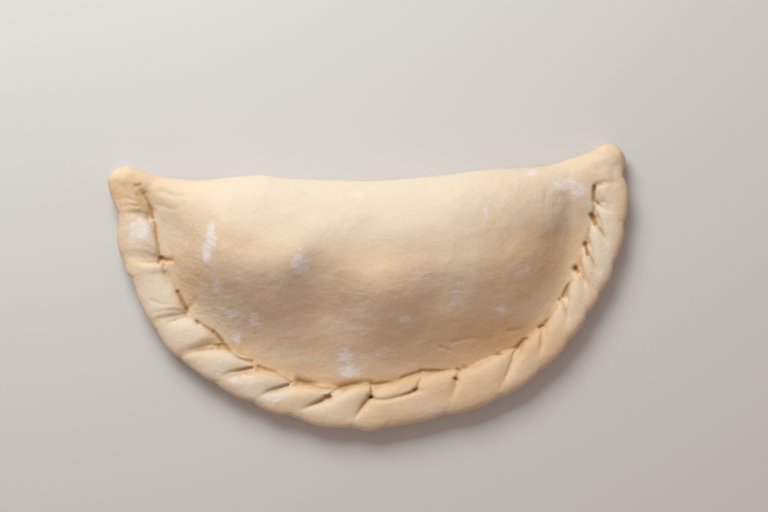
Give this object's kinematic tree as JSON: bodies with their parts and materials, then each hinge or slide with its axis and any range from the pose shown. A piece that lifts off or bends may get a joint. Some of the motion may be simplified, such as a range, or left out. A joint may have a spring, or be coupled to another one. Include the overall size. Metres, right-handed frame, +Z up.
{
  "type": "calzone",
  "caption": "Large unbaked calzone: a half-moon of raw dough folded over a filling, with a straight folded back edge and a rope-crimped curved edge.",
  "frame": {"origin": "centre of the plan outline at the level of the flat underside, on the surface the calzone lies on", "axes": "+Z up; +X along the length, from the left horn to the right horn as seen from the crimped side; +Y from the crimped curved front to the straight folded back"},
  "size_m": [0.2808, 0.154, 0.0397],
  "materials": {
    "dough": "pale cream raw dough, soft and matte, with a light dusting of white flour"
  },
  "bodies": {
    "root": {"calzone": "dough"}
  },
  "joints": []
}
